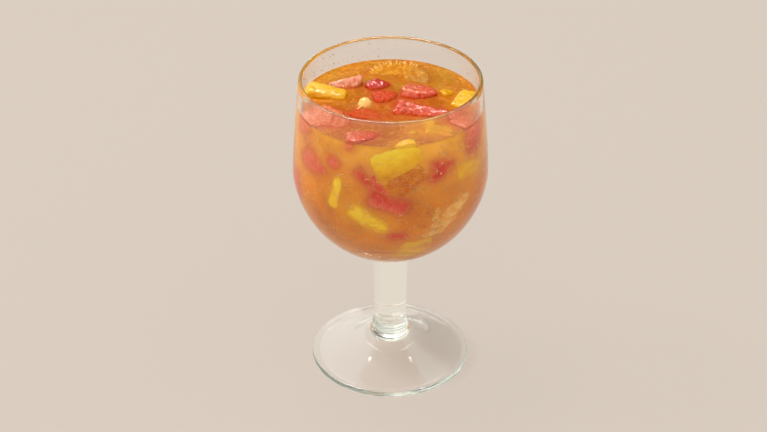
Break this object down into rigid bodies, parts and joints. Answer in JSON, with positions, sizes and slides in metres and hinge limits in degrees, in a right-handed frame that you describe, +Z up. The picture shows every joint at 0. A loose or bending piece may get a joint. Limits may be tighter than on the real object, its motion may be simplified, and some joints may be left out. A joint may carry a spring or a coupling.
{
  "type": "fruit cup",
  "caption": "Stemmed glass of thick citrus juice with cut strawberry, mango and orange pieces in it.",
  "frame": {"origin": "middle of the foot's underside, on the surface that the glass stands on", "axes": "+Z up along the stem, -Y towards the front of the glass, +X to its right as seen from the front"},
  "size_m": [0.0896, 0.0896, 0.15],
  "materials": {
    "glass": "clear polished glass",
    "juice": "cloudy orange juice with pulp, wet",
    "strawberry": "wet strawberry flesh",
    "mango": "wet mango flesh",
    "orange": "wet orange segment with its skin",
    "pale_fruit": "wet pale yellow pith"
  },
  "bodies": {
    "root": {"glass": "glass", "juice": "juice", "mango_back_high": "mango", "mango_back_low": "mango", "mango_back_side": "mango", "mango_bottom": "mango", "mango_bottom_back": "mango", "mango_front": "mango", "mango_front_right": "mango", "mango_front_small": "mango", "mango_left": "mango", "mango_lower_left": "mango", "mango_right": "mango", "mango_right_low": "mango", "mango_small": "mango", "mango_stick": "mango", "orange_back": "orange", "orange_back_wall": "orange", "orange_front": "orange", "orange_skin": "orange", "pale_piece": "pale_fruit", "strawberry_back_left": "strawberry", "strawberry_back_low": "strawberry", "strawberry_back_right": "strawberry", "strawberry_back_small": "strawberry", "strawberry_back_wall": "strawberry", "strawberry_bottom": "strawberry", "strawberry_front": "strawberry", "strawberry_front_left": "strawberry", "strawberry_front_middle": "strawberry", "strawberry_large": "strawberry", "strawberry_left_high": "strawberry", "strawberry_left_low": "strawberry", "strawberry_left_small": "strawberry", "strawberry_low": "strawberry", "strawberry_lower": "strawberry", "strawberry_middle": "strawberry", "strawberry_right": "strawberry", "strawberry_right_low": "strawberry", "strawberry_seeded": "strawberry", "strawberry_side": "strawberry", "strawberry_upper": "strawberry"}
  },
  "joints": []
}
